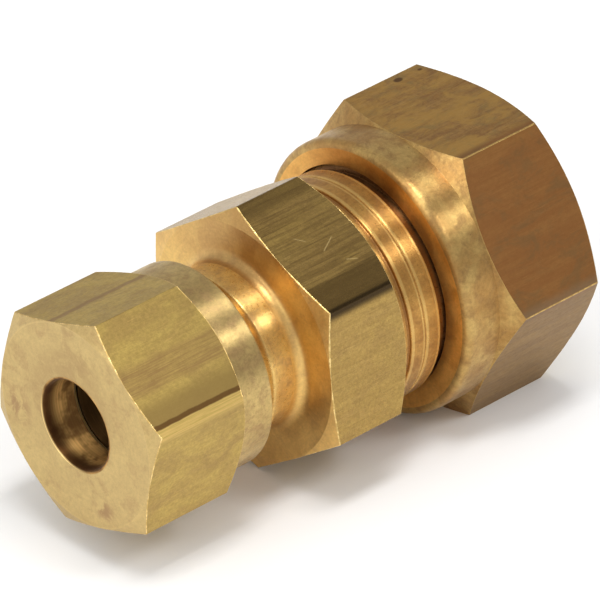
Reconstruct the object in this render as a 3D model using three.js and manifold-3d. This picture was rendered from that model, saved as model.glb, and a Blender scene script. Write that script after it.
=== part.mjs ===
// A reducing straight compression coupling: a threaded brass body with a hexagon in the middle, and
// on each end a nut that squeezes a loose ring, the olive, onto a plain tube pushed into the body.
// Millimetres. X runs along the tubes, from the small end to the large end, and +Z is up.
// The origin is on the axis, halfway along the assembled fitting, and the nuts are finger tight.

import * as THREE from "three";
import { mergeVertices } from "three/addons/utils/BufferGeometryUtils.js";
import Module from "manifold-3d";

const wasm = await Module();
wasm.setup();

// ---- driving dimensions ----

// Each end is described looking outwards from the middle of the fitting, along its own tube.
const SMALL_END = {
  tubeBore: 10.16,
  tubeStop: 6.65,
  threadDiameter: 19.2,
  pitch: 1.5875,
  threadPhase: 0.09,
  threadStart: 10.2,
  threadRunOut: 1,
  bodyMouth: 19.15,
  nutMouth: 12.54,
  nutMouthBore: 19.8,
  nutFace: 29.8,
  nutAcrossFlats: 23.54,
  nutTurn: -14,
  collarDiameter: 23.36,
  collarLength: 4.06,
  collarEdge: 0.3,
  innerChamferAngle: 33.4,
  outerChamferAngle: 20,
  nutThreadLength: 8.6,
  oliveDiameter: 13,
  oliveLength: 6.6,
  oliveEndWall: 0.35,
  oliveConeLength: 2.4,
  oliveInsertion: 0.8,
};
const LARGE_END = {
  tubeBore: 22.16,
  tubeStop: 3.25,
  threadDiameter: 26.1,
  pitch: 1.814,
  threadPhase: 0.43,
  threadStart: 10.2,
  threadRunOut: 0.8,
  bodyMouth: 17.25,
  nutMouth: 11.62,
  nutMouthBore: 25,
  nutFace: 29.8,
  nutAcrossFlats: 32,
  nutTurn: 30,
  collarDiameter: 31.9,
  collarLength: 4.6,
  collarEdge: 1,
  innerChamferAngle: 30,
  outerChamferAngle: 30,
  nutThreadLength: 10.2,
  oliveDiameter: 23.9,
  oliveLength: 8,
  oliveEndWall: 0.25,
  oliveConeLength: 2.6,
  oliveInsertion: 1.2,
};

// The hexagon in the middle of the body, the plain necks beside it, and the passage through it.
const HEX = { start: -6.15, end: 4.6, acrossFlats: 27.51, turn: -3.06, smallAngle: 14.5, largeAngle: 33.4 };
const SMALL_NECK = { diameter: 18.78, fillet: 1.4, end: 9.7 };
const LARGE_NECK = {
  undercutStart: 5.55, undercutEnd: 6.1, undercutDiameter: 25.5,
  lineAt: 8.2, lineDepth: 0.15,
  reliefStart: 10.3, reliefEnd: 11.9, reliefDiameter: 24.4,
};
const WATERWAY = { smallDiameter: 8.4, smallEnd: -2.1, largeStart: 1.2, largeDiameter: 19.2 };

// The form of the thread's groove, and the clearances of the loose assembly.
const GROOVE = { depth: 0.95, halfFloor: 0.12, slope: 0.52 };
const RADIAL_PLAY = 0.2;
const AXIAL_PLAY = 0.13;
const OLIVE_GAP = 0.15;

// Small edges: the body's tips, the nuts' bores, and the steps of the necks.
const TIP_CHAMFER = 0.7;
const BORE_EDGE = 0.45;
const HEX_FACE_INSET = 0.1;
const EDGE_STEP = 0.1;

// How finely round things are made, and how far a cut goes past the face it opens.
const ROUND_STEPS = 30;
const ARC_STEPS = 3;
const OVERRUN = 1;
const OVERCUT = 0.3;

const radians = THREE.MathUtils.degToRad;
const brass = (color, roughness) => new THREE.MeshStandardMaterial({ color, roughness, metalness: 1 });

// ---- solids ----

/** A closed three.js geometry as a solid, with its shared vertices merged. */
function toSolid(geometry) {
  geometry.deleteAttribute("normal");
  geometry.deleteAttribute("uv");
  const merged = mergeVertices(geometry, 1e-4);
  const corners = merged.index.array;
  const triangles = [];
  for (let i = 0; i < corners.length; i += 3) {
    const [a, b, c] = corners.slice(i, i + 3);
    if (a !== b && b !== c && a !== c) {
      triangles.push(a, b, c);
    }
  }
  return new wasm.Manifold(new wasm.Mesh({
    numProp: 3,
    vertProperties: new Float32Array(merged.attributes.position.array),
    triVerts: new Uint32Array(triangles),
  }));
}

/** A solid as a three.js geometry. */
function toGeometry(solid) {
  const mesh = solid.getMesh();
  const geometry = new THREE.BufferGeometry();
  geometry.setAttribute("position", new THREE.BufferAttribute(new Float32Array(mesh.vertProperties), 3));
  geometry.setIndex(new THREE.BufferAttribute(new Uint32Array(mesh.triVerts), 1));
  geometry.computeVertexNormals();
  return geometry;
}

/** The same solid, pointing the other way along X. */
function facingBack(solid) {
  return toSolid(toGeometry(solid).rotateZ(Math.PI));
}

/** A solid turned about X. Its outline is a list of [x, diameter], joined to the axis at both ends. */
function turned(outline) {
  const closed = [[outline[0][0], 0], ...outline, [outline[outline.length - 1][0], 0]];
  const profile = closed.map(([x, diameter]) => new THREE.Vector2(diameter / 2, x));
  const lathe = new THREE.LatheGeometry(profile, ROUND_STEPS);
  return toSolid(lathe.rotateZ(-Math.PI / 2));
}

/**
 * Outline points on a quarter round that leaves one place square to the axis and reaches the other
 * along it: the rounded edge of a face that rises to a side, or the fillet of one that falls to a neck.
 */
function quarterRound(from, to) {
  const centre = [to[0], from[1]];
  const points = [];
  for (let step = 0; step <= ARC_STEPS; step += 1) {
    const angle = (Math.PI / 2) * (step / ARC_STEPS);
    points.push([0, 1].map((i) => (
      centre[i] + (from[i] - centre[i]) * Math.cos(angle) + (to[i] - centre[i]) * Math.sin(angle)
    )));
  }
  return points;
}

/** A hexagonal bar along X, with a corner at the top when its turn is 0. */
function hexBar(start, end, acrossFlats, turn) {
  const corner = acrossFlats / Math.sqrt(3);
  const prism = new THREE.CylinderGeometry(corner, corner, end - start, 6);
  prism.rotateZ(-Math.PI / 2);
  prism.rotateX(radians(turn));
  prism.translate((start + end) / 2, 0, 0);
  return toSolid(prism);
}

/** How far along X a chamfer reaches as it rises from a diameter to just past a hexagon's corners. */
function chamferReach(fromDiameter, toDiameter, angle) {
  return ((toDiameter - fromDiameter) / 2) * Math.tan(radians(angle));
}

/**
 * What a thread-cutting tool removes as it follows a right-handed helix about X. The tool is
 * innerHalf and outerHalf to each side of its middle at its two radii, its middle crosses the top
 * at x = phase, and lift(x) is how far it is drawn outwards where a thread runs out.
 */
function threadCut({ pitch, phase, start, end, inner, outer, lift = () => 0 }) {
  const section = [[-inner.half, inner.radius], [inner.half, inner.radius],
    [outer.half, outer.radius], [-outer.half, outer.radius]];
  const firstStep = Math.floor(((start - phase) / pitch) * ROUND_STEPS);
  const rows = Math.ceil(((end - start) / pitch) * ROUND_STEPS);
  const positions = [];
  const indices = [];
  for (let row = 0; row <= rows; row += 1) {
    const step = firstStep + row;
    const angle = (2 * Math.PI * step) / ROUND_STEPS;
    const middle = phase + (pitch * step) / ROUND_STEPS;
    for (const [offset, radius] of section) {
      const reach = radius + lift(middle);
      positions.push(middle + offset, -reach * Math.sin(angle), reach * Math.cos(angle));
    }
  }
  for (let row = 0; row < rows; row += 1) {
    for (let side = 0; side < 4; side += 1) {
      const [a, b] = [row * 4 + side, row * 4 + ((side + 1) % 4)];
      indices.push(a, b, a + 4, b, b + 4, a + 4);
    }
  }
  const tail = rows * 4;
  indices.push(0, 2, 1, 0, 3, 2, tail, tail + 1, tail + 2, tail, tail + 2, tail + 3);
  const geometry = new THREE.BufferGeometry();
  geometry.setAttribute("position", new THREE.Float32BufferAttribute(positions, 3));
  geometry.setIndex(indices);
  return toSolid(geometry);
}

// ---- sizes worked out from the ends ----

const rootRadius = (end) => end.threadDiameter / 2 - GROOVE.depth;
const nutInnerDiameter = (end) => 2 * (rootRadius(end) + RADIAL_PLAY);

/** Half the width of the body's thread groove at a radius. */
const grooveHalf = (end, radius) => GROOVE.halfFloor + (radius - rootRadius(end)) * GROOVE.slope;

/** How fast an olive's cone widens: growth in radius for each millimetre along it. */
const oliveTaper = (end) => (
  ((end.oliveDiameter - end.tubeBore) / 2 - end.oliveEndWall) / end.oliveConeLength
);

/** Where the olive starts and ends: it stands a little way inside the body's mouth. */
const oliveStart = (end) => end.bodyMouth - end.oliveInsertion;
const oliveEnd = (end) => oliveStart(end) + end.oliveLength;

// ---- the body ----

/** One end of the body without its bore: a neck, whose outline is given, and a threaded stub. */
function stub(end, neckOutline) {
  const blank = turned([
    ...neckOutline,
    [end.bodyMouth - TIP_CHAMFER, end.threadDiameter],
    [end.bodyMouth, end.threadDiameter - 2 * TIP_CHAMFER],
  ]);
  const outerRadius = end.threadDiameter / 2 + OVERCUT;
  const groove = threadCut({
    pitch: end.pitch,
    phase: end.threadPhase,
    start: end.threadStart,
    end: end.bodyMouth + end.pitch,
    inner: { radius: rootRadius(end), half: GROOVE.halfFloor },
    outer: { radius: outerRadius, half: grooveHalf(end, outerRadius) },
    lift: (x) => GROOVE.depth * Math.max(0, 1 - (x - end.threadStart) / end.threadRunOut),
  });
  return blank.subtract(groove);
}

/** The hole that takes the tube up to its stop, with the cone at its mouth that seats the olive. */
function socket(end) {
  const taper = oliveTaper(end);
  const mouthGrowth = end.oliveEndWall + OLIVE_GAP + end.oliveInsertion * taper;
  return turned([
    [end.tubeStop, end.tubeBore],
    [end.bodyMouth - mouthGrowth / taper, end.tubeBore],
    [end.bodyMouth + OVERRUN, end.tubeBore + 2 * (mouthGrowth + OVERRUN * taper)],
  ]);
}

/** The hexagon that a spanner holds, with turned chamfers on its corners. */
function bodyHexagon() {
  const face = HEX.acrossFlats - HEX_FACE_INSET;
  const corner = (2 * HEX.acrossFlats) / Math.sqrt(3) + OVERRUN;
  const chamfers = turned([
    [HEX.start, face],
    [HEX.start + chamferReach(face, corner, HEX.smallAngle), corner],
    [HEX.end - chamferReach(face, corner, HEX.largeAngle), corner],
    [HEX.end, face],
  ]);
  return hexBar(HEX.start, HEX.end, HEX.acrossFlats, HEX.turn).intersect(chamfers);
}

/** The hole that joins the two tube sockets: narrow, then opening out to the large tube's bore. */
function waterway() {
  return turned([
    [-SMALL_END.tubeStop - OVERRUN, WATERWAY.smallDiameter],
    [WATERWAY.smallEnd, WATERWAY.smallDiameter],
    [WATERWAY.largeStart, WATERWAY.largeDiameter],
    [LARGE_END.tubeStop + OVERRUN, WATERWAY.largeDiameter],
  ]);
}

/** The small neck's outline: a fillet against the hexagon's face, then plain up to the thread. */
function smallNeck() {
  const { diameter, fillet, end } = SMALL_NECK;
  const face = -HEX.start;
  const filletTop = diameter + 2 * fillet;
  return [
    [0, filletTop],
    ...quarterRound([face, filletTop], [face + fillet, diameter]),
    [end, diameter],
    [end + EDGE_STEP, SMALL_END.threadDiameter],
  ];
}

/** The large neck's outline: a collar, an undercut, a fine line, and a relief where the nut's edge stands. */
function largeNeck() {
  const { undercutStart, undercutEnd, undercutDiameter, lineAt, lineDepth } = LARGE_NECK;
  const { reliefStart, reliefEnd, reliefDiameter } = LARGE_NECK;
  const across = LARGE_END.threadDiameter;
  return [
    [0, across],
    [undercutStart, across],
    [undercutStart + EDGE_STEP, undercutDiameter],
    [undercutEnd - EDGE_STEP, undercutDiameter],
    [undercutEnd, across],
    [lineAt - lineDepth, across],
    [lineAt, across - 2 * lineDepth],
    [lineAt + lineDepth, across],
    [reliefStart, across],
    [reliefStart + EDGE_STEP, reliefDiameter],
    [reliefEnd - EDGE_STEP, reliefDiameter],
    [reliefEnd, across],
  ];
}

function body() {
  return bodyHexagon()
    .add(facingBack(stub(SMALL_END, smallNeck())))
    .add(stub(LARGE_END, largeNeck()))
    .subtract(facingBack(socket(SMALL_END)))
    .subtract(socket(LARGE_END))
    .subtract(waterway());
}

// ---- the nuts and the olives ----

/** A nut's outside: a turned collar round the thread, then a hexagon chamfered at both faces. */
function nutBlank(end) {
  const face = end.nutAcrossFlats - HEX_FACE_INSET;
  const corner = (2 * end.nutAcrossFlats) / Math.sqrt(3) + OVERRUN;
  const collarEnd = end.nutMouth + end.collarLength;
  const edgeStart = [end.nutMouth, end.collarDiameter - 2 * end.collarEdge];
  const edgeEnd = [end.nutMouth + end.collarEdge, end.collarDiameter];
  const outside = turned([
    ...quarterRound(edgeStart, edgeEnd),
    [collarEnd, end.collarDiameter],
    [collarEnd + chamferReach(end.collarDiameter, corner, end.innerChamferAngle), corner],
    [end.nutFace - chamferReach(face, corner, end.outerChamferAngle), corner],
    [end.nutFace, face],
  ]);
  return hexBar(end.nutMouth, end.nutFace, end.nutAcrossFlats, end.nutTurn).intersect(outside);
}

/** A nut's inside: chamfered mouth, thread bore and relief, the cone that presses the olive, tube bore. */
function nutHollow(end) {
  const inner = nutInnerDiameter(end);
  const relief = end.threadDiameter + 2 * RADIAL_PLAY;
  const reliefWidth = 1.2;
  const threadEnd = end.nutMouth + end.nutThreadLength;
  const seatEnd = oliveEnd(end) + end.oliveEndWall + OLIVE_GAP * Math.SQRT2;
  return turned([
    [end.nutMouth - OVERRUN, end.nutMouthBore + 2 * OVERRUN],
    [end.nutMouth + (end.nutMouthBore - inner) / 2, inner],
    [threadEnd - reliefWidth, inner],
    [threadEnd - reliefWidth, relief],
    [threadEnd, relief],
    [threadEnd, inner],
    [seatEnd - (inner - end.tubeBore) / 2, inner],
    [seatEnd, end.tubeBore],
    [end.nutFace - BORE_EDGE, end.tubeBore],
    [end.nutFace + OVERRUN, end.tubeBore + 2 * (BORE_EDGE + OVERRUN)],
  ]);
}

/** A nut with its thread, which meets the body's with the same play at every turn. */
function nut(end) {
  const nutGrooveHalf = (radius) => end.pitch / 2 - grooveHalf(end, radius) + AXIAL_PLAY;
  const innerRadius = nutInnerDiameter(end) / 2 - 0.1;
  const outerRadius = end.threadDiameter / 2 + RADIAL_PLAY;
  const thread = threadCut({
    pitch: end.pitch,
    phase: end.threadPhase + end.pitch / 2,
    start: end.nutMouth - end.pitch,
    end: end.nutMouth + end.nutThreadLength - 0.8,
    inner: { radius: innerRadius, half: nutGrooveHalf(innerRadius) },
    outer: { radius: outerRadius, half: nutGrooveHalf(outerRadius) },
  });
  return nutBlank(end).subtract(nutHollow(end)).subtract(thread);
}

/** An olive: a short ring, coned at both ends, that slips over the tube. */
function olive(end) {
  const [start, finish] = [oliveStart(end), oliveEnd(end)];
  const tip = end.tubeBore + 2 * end.oliveEndWall;
  const barrel = turned([
    [start, tip],
    [start + end.oliveConeLength, end.oliveDiameter],
    [finish - end.oliveConeLength, end.oliveDiameter],
    [finish, tip],
  ]);
  const bore = turned([[start - OVERRUN, end.tubeBore], [finish + OVERRUN, end.tubeBore]]);
  return barrel.subtract(bore);
}

// ---- the assembly ----

function piece(name, solid, material) {
  const mesh = new THREE.Mesh(toGeometry(solid), material);
  mesh.name = name;
  return mesh;
}

/** The nut and the olive of one end, looking outwards along X. */
function gland(name, end) {
  const group = new THREE.Group();
  group.add(piece(`${name}_nut`, nut(end), brass(0xb59350, 0.36)));
  group.add(piece(`${name}_olive`, olive(end), brass(0xc9a25c, 0.28)));
  return group;
}

const fitting = new THREE.Group();
const smallGland = gland("small", SMALL_END);
smallGland.rotation.z = Math.PI;
fitting.add(piece("body", body(), brass(0xb98f4a, 0.3)));
fitting.add(smallGland);
fitting.add(gland("large", LARGE_END));

export default fitting;
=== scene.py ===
"""The looks of a brass reducing compression coupling: fine meshes and procedural brass over its frame.

Every piece is a section that changes as it goes once round the X axis: round where the part was
turned, hexagonal where the bar was left, helical on the threads. Sizes here are in millimetres and
degrees and repeat the design's; where each piece starts and ends along X comes from the frame.
Angles round the axis start at the top (+Z) and grow towards -Y.
"""

import math
from collections import namedtuple

import bmesh
import bpy
import numpy as np
from mathutils import Matrix, Vector, noise


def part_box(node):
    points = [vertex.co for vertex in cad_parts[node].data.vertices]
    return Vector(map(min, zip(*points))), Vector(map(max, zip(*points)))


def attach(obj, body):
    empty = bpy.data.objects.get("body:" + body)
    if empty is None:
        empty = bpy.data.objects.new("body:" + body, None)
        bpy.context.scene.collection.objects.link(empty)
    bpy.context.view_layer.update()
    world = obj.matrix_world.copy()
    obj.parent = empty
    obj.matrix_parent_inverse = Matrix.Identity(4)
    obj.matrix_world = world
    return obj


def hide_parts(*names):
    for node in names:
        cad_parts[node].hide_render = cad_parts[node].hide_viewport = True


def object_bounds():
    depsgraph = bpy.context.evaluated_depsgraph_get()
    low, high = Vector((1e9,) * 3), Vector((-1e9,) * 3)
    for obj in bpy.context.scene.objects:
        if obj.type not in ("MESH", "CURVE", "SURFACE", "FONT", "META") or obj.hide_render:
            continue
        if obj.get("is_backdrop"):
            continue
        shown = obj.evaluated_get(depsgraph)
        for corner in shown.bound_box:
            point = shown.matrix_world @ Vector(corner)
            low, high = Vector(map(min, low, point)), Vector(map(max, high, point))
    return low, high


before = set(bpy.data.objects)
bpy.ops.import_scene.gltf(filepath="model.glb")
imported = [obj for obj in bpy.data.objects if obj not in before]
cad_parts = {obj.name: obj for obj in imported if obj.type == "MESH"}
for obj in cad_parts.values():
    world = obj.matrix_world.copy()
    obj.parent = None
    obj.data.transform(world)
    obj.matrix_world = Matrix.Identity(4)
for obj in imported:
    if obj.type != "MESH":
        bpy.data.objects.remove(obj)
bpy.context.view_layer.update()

MM = 0.001
SIXTH_TURN = math.pi / 3

# ---- sizes, each end looking outwards along its own tube ----

SMALL = {
    "thread": 9.6, "pitch": 1.5875, "phase": 0.09, "thread_start": 10.2, "run_out": 1.0,
    "bore": 5.08, "stop": 6.65, "flats": 11.77, "turn": -14, "hex_round": 0.14,
    "collar": 11.68, "collar_length": 4.06, "collar_edge": 0.3, "inner_chamfer": 33.4,
    "outer_chamfer": 20, "mouth_bore": 9.9, "thread_length": 8.6, "olive": 6.5,
    "olive_wall": 0.35, "olive_cone": 2.4, "insertion": 0.8, "worn_glinting_corners": False,
}
LARGE = {
    "thread": 13.05, "pitch": 1.814, "phase": 0.43, "thread_start": 10.2, "run_out": 0.8,
    "bore": 11.08, "stop": 3.25, "flats": 16, "turn": 30, "hex_round": 0.2,
    "collar": 15.95, "collar_length": 4.6, "collar_edge": 1.0, "inner_chamfer": 30,
    "outer_chamfer": 30, "mouth_bore": 12.5, "thread_length": 10.2, "olive": 11.95,
    "olive_wall": 0.25, "olive_cone": 2.6, "insertion": 1.2, "worn_glinting_corners": True,
}
HEX = {"start": -6.15, "end": 4.6, "flats": 13.755, "turn": -3.06, "hex_round": 0.12,
       "near_chamfer": 14.5, "far_chamfer": 33.4}
SMALL_NECK = {"radius": 9.39, "fillet": 1.4, "end": 9.7}
LARGE_NECK = {"undercut": 12.75, "undercut_start": 5.55, "undercut_end": 6.1, "line": 8.2,
              "relief": 12.2, "relief_start": 10.3, "relief_end": 11.9}
WATERWAY = {"small_radius": 4.2, "small_end": -2.1, "large_start": 1.2, "large_radius": 9.6}
GROOVE = {"depth": 0.95, "half_floor": 0.12, "slope": 0.52}
RADIAL_PLAY = 0.2
AXIAL_PLAY = 0.13
BODY_BLENDS = {"floor": 0.12, "crest": 0.1, "tip": 0.06}
NUT_BLENDS = {"floor": 0.1, "crest": 0.06, "mouth": 0.05}
OLIVE_GAP = 0.15
FACE_INSET = 0.05
TIP_CHAMFER = 0.7
BORE_EDGE = 0.4
RELIEF_WIDTH = 1.2
MEAN_RADIUS = 15

# ---- how finely the meshes are made ----

# Guard points stand close beside each edge, so that smooth shading stays crisp there. GUARD is in
# millimetres, the angles are in radians round the axis, and WELD is in metres.
COLUMNS = 264
GUARD = 0.05
GUARD_ANGLE = 0.003
CLEAR_ANGLE = 0.004
MOST_OF_SIDE = 0.45
WELD = 4e-7
FINISHES = ("turned", "drawn", "faced", "edge", "bore")
TURNED, DRAWN, FACED, EDGE, BORE = range(5)

# A corner of a section: where it is, its rounding, the finish and the cuts of the stretch after it, the
# steps of its arc, and whether the arc takes the edge finish: worn bright, partly a painted glint. A run is
# a row of points made elsewhere.
Corner = namedtuple("Corner", "x r round finish cuts steps edge", defaults=(0.05, TURNED, 0, 3, False))
Run = namedtuple("Run", "points finish")


# ---- sections and meshes ----

def columns_round(turn, corner_reach):
    """Angles once round the axis, closer together at the six corners of a hexagon."""
    guard = corner_reach + GUARD_ANGLE
    near = np.array([-guard, -corner_reach, -corner_reach / 2, 0, corner_reach / 2, corner_reach, guard])
    corners = (math.radians(turn) + np.arange(6) * SIXTH_TURN) % (2 * math.pi)
    plain = np.arange(COLUMNS) * 2 * math.pi / COLUMNS
    gap = np.abs((plain[:, None] - corners[None, :] + math.pi) % (2 * math.pi) - math.pi).min(axis=1)
    plain = plain[gap > guard + CLEAR_ANGLE]
    angles = np.unique(np.concatenate([plain, (corners[:, None] + near).ravel() % (2 * math.pi), [0.0]]))
    return np.append(angles, 2 * math.pi)


def corner_angle(flats, rounding):
    """Half the angle that the rounding of a hexagon's corner takes up, seen from the axis."""
    centre = (flats - rounding) / math.cos(SIXTH_TURN / 2)
    return math.atan2(rounding / 2, centre + rounding * math.cos(SIXTH_TURN / 2))


def hexagon_radius(angles, flats, turn, rounding):
    """Distance from the axis to a hexagon with rounded corners, at each angle."""
    past_corner = (angles - math.radians(turn) + SIXTH_TURN / 2) % SIXTH_TURN - SIXTH_TURN / 2
    from_flat = SIXTH_TURN / 2 - np.abs(past_corner)
    straight = flats / np.cos(from_flat)
    centre = (flats - rounding) / math.cos(SIXTH_TURN / 2)
    inside = np.clip(rounding ** 2 - (centre * np.sin(past_corner)) ** 2, 0, None)
    arc = centre * np.cos(past_corner) + np.sqrt(inside)
    return np.where(np.abs(past_corner) < corner_angle(flats, rounding), arc, straight)


def unit(vectors):
    """The vectors at length 1."""
    return vectors / np.maximum(np.linalg.norm(vectors, axis=-1, keepdims=True), 1e-9)


def rounded(corner, here, before, after):
    """A corner as a small arc with a guard point on each side, so that smooth shading stays crisp."""
    way_in, way_out = unit(here - before), unit(after - here)
    side = np.minimum(np.linalg.norm(here - before, axis=1), np.linalg.norm(after - here, axis=1))
    room = MOST_OF_SIDE * side
    turn = np.arccos(np.clip((way_in * way_out).sum(axis=1), -1, 1))
    reach = np.minimum(corner.round * np.tan(turn / 2), room)[:, None]
    guard = np.minimum(GUARD, (side[:, None] / 2 - reach) * 0.6)
    first, last = here - way_in * reach, here + way_out * reach
    arc = [((1 - s) ** 2) * first + 2 * s * (1 - s) * here + s ** 2 * last
           for s in np.linspace(0, 1, corner.steps + 1)]
    return np.stack([first - way_in * guard, *arc, last + way_out * guard], axis=1)


def section(items, count):
    """A closed section in `count` columns: its points, columns x points x 2, and each stretch's finish."""
    ends = []
    for item in items:
        if isinstance(item, Run):
            ends.append((item.points[:, 0], item.points[:, -1]))
        else:
            key = np.stack([np.broadcast_to(item.x, count), np.broadcast_to(item.r, count)], axis=1)
            ends.append((key.astype(float), key.astype(float)))
    blocks = []
    for i, item in enumerate(items):
        if isinstance(item, Run):
            blocks.append(item.points)
        else:
            blocks.append(rounded(item, ends[i][0], ends[i - 1][1], ends[(i + 1) % len(items)][0]))
    points, finishes = [], []
    for i, item in enumerate(items):
        block = blocks[i]
        following = blocks[(i + 1) % len(items)][:, 0]
        cuts = 0 if isinstance(item, Run) else item.cuts
        steps = (np.arange(cuts) + 1) / (cuts + 1)
        between = block[:, -1:] + (following - block[:, -1])[:, None] * steps[None, :, None]
        points += [block, between]
        if isinstance(item, Run):
            finishes += [item.finish] * block.shape[1]
        else:
            before = finishes[-1] if finishes else item.finish
            arc_finish = EDGE if item.edge else item.finish
            finishes += [before] + [arc_finish] * item.steps + [item.finish] * (2 + cuts)
    return np.concatenate(points, axis=1), finishes


def smooth_min(a, b, blend):
    """The lesser of two values, rounded over `blend` where they cross."""
    share = np.clip(0.5 + 0.5 * (b - a) / blend, 0, 1)
    return b + (a - b) * share - blend * share * (1 - share)


def smooth_max(a, b, blend):
    """The greater of two values, rounded over `blend` where they cross."""
    return -smooth_min(-a, -b, blend)


def from_groove(x, angles, pitch, phase):
    """How far along X each point is from the middle of the nearest thread groove, and that middle."""
    turns = (x - phase) / pitch - angles / (2 * math.pi)
    nearest = np.round(turns)
    return np.abs(turns - nearest) * pitch, x - (turns - nearest) * pitch


def helical_run(angles, pitch, phase, start, end, radius_at):
    """Points from start to end that follow the thread round, so that its edges stay sharp."""
    # Rows of points at each turn: the floor's middle and edge, both ends of the flank, and the crest.
    half = GROOVE["half_floor"]
    crest = half + GROOVE["depth"] * GROOVE["slope"]
    side = [0, half + 0.02, half + 0.17, crest - 0.12, crest - 0.02, crest + 0.07]
    offsets = np.array([-u for u in side[:0:-1]] + side + [pitch / 2])
    first = math.floor((start - phase) / pitch) - 2
    last = math.ceil((end - phase) / pitch) + 1
    middles = phase + pitch * np.arange(first, last + 1)
    base = (middles[:, None] + offsets[None, :]).ravel()
    x = np.clip(base[None, :] + (pitch * angles / (2 * math.pi))[:, None], start, end)
    return Run(np.stack([x, radius_at(x, angles[:, None])], axis=2), TURNED)


def body_thread_radius(end, phase, outwards):
    """The body's thread as a distance from the axis. `outwards` is 1 or -1 along X towards the tube."""
    crest = end["thread"]
    root = crest - GROOVE["depth"]

    def radius(x, angles):
        distance, middle = from_groove(x, angles, end["pitch"], phase)
        into_thread = (outwards * middle - end["thread_start"]) / end["run_out"]
        lift = GROOVE["depth"] * np.clip(1 - into_thread, 0, 3)
        flank = root + lift + (distance - GROOVE["half_floor"]) / GROOVE["slope"]
        groove = smooth_max(root + lift, flank, BODY_BLENDS["floor"])
        tip = crest - TIP_CHAMFER + (end["mouth"] - outwards * x)
        return smooth_min(smooth_min(groove, crest, BODY_BLENDS["crest"]), tip, BODY_BLENDS["tip"])
    return radius


def nut_thread_radius(end):
    """The nut's thread, which meets the body's with the same play at every turn."""
    root = end["thread"] - GROOVE["depth"]

    def radius(x, angles):
        distance, _ = from_groove(x, angles, end["pitch"], end["phase"])
        flank = root + (distance + AXIAL_PLAY - GROOVE["half_floor"]) / GROOVE["slope"]
        groove = smooth_min(flank, end["thread"] + RADIAL_PLAY, NUT_BLENDS["floor"])
        ridge = smooth_max(groove, root + RADIAL_PLAY, NUT_BLENDS["crest"])
        return smooth_max(ridge, end["mouth_bore"] - (x - end["nut_mouth"]), NUT_BLENDS["mouth"])
    return radius


def mesh_of(name, angles, points, finishes, corner_columns=None):
    """A welded mesh of a section that goes once round X, with a finish on each face."""
    columns, count = points.shape[:2]
    x, r = points[..., 0], points[..., 1]
    turn = angles[:, None]
    places = np.stack([x, -r * np.sin(turn), r * np.cos(turn)], axis=2) * MM
    here = np.arange(columns - 1)[:, None] * count + np.arange(count)[None, :]
    along = np.arange(columns - 1)[:, None] * count + (np.arange(count)[None, :] + 1) % count
    faces = np.stack([here, along, along + count, here + count], axis=2)
    mesh = bpy.data.meshes.new(name)
    mesh.from_pydata(places.reshape(-1, 3).tolist(), [], faces.reshape(-1, 4).tolist())
    labels = np.tile(np.array(finishes), (columns - 1, 1))
    if corner_columns is not None:
        labels = np.where(corner_columns[:, None] & (labels == DRAWN), EDGE, labels)
    mesh.polygons.foreach_set("material_index", labels.ravel().astype(np.int32))
    shell = bmesh.new()
    shell.from_mesh(mesh)
    bmesh.ops.remove_doubles(shell, verts=shell.verts, dist=WELD)
    bmesh.ops.recalc_face_normals(shell, faces=shell.faces)
    shell.to_mesh(mesh)
    shell.free()
    mesh.shade_smooth()
    return mesh


def wave(x, angles, seed, along, across):
    """Smooth noise between -1 and 1 over a surface: `along` and `across` are its waves per millimetre."""
    values = np.empty(x.shape)
    reach = across * MEAN_RADIUS
    turns = np.broadcast_to(angles[:, None], x.shape)
    for place in np.ndindex(x.shape):
        sideways, up = math.sin(turns[place]) * reach, math.cos(turns[place]) * reach
        values[place] = noise.noise((x[place] * along, sideways, up + seed))
    return values


def uneven(points, angles, radius, seed, depth=0.012):
    """The flats of drawn bar aren't quite flat: they wave a little, mostly across the bar."""
    on_flat = np.abs(points[..., 1] - radius[:, None]) < 1e-6
    slow = wave(points[..., 0], angles, seed, along=0.06, across=0.28)
    quick = wave(points[..., 0], angles, seed + 7, along=0.2, across=0.6)
    sway = slow + 0.5 * quick
    points[..., 1] -= np.where(on_flat, depth * (1 + sway), 0)
    return points


def burr_round(angles, size, sway, seed, across):
    """The rounding of a flat's edge, uneven on the way round as a burr is."""
    return size + sway * wave(np.zeros((len(angles), 1)), angles, seed, 1, across)[:, 0]


def corner_columns(angles, spec):
    """Which strips between columns lie on a hexagon's rounded corners."""
    middle = (angles[:-1] + angles[1:]) / 2
    past = (middle - math.radians(spec["turn"]) + SIXTH_TURN / 2) % SIXTH_TURN - SIXTH_TURN / 2
    return np.abs(past) < corner_angle(spec["flats"], spec["hex_round"])


# ---- the pieces ----

def place_ends():
    """Takes from the frame where every piece of the two ends starts and stops, looking outwards."""
    def reach(node, side):
        low, high = (corner.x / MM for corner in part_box(node))
        return (low, high) if side > 0 else (-high, -low)

    for end, name, side in ((SMALL, "small", -1), (LARGE, "large", 1)):
        _, end["mouth"] = reach("body", side)
        end["nut_mouth"], end["nut_face"] = reach(f"{name}_nut", side)
        end["olive_start"], end["olive_end"] = reach(f"{name}_olive", side)
        end["taper"] = (end["olive"] - end["bore"] - end["olive_wall"]) / end["olive_cone"]


def new_piece(name, mesh, body, materials, turned_back=False):
    """Puts a finished mesh in place of a CAD node, riding on its body."""
    if turned_back:
        mesh.transform(Matrix.Rotation(math.pi, 4, "Z"))
    for material in materials:
        mesh.materials.append(material)
    piece = bpy.data.objects.new(name, mesh)
    bpy.context.scene.collection.objects.link(piece)
    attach(piece, body)
    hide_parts(body)
    return piece


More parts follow.
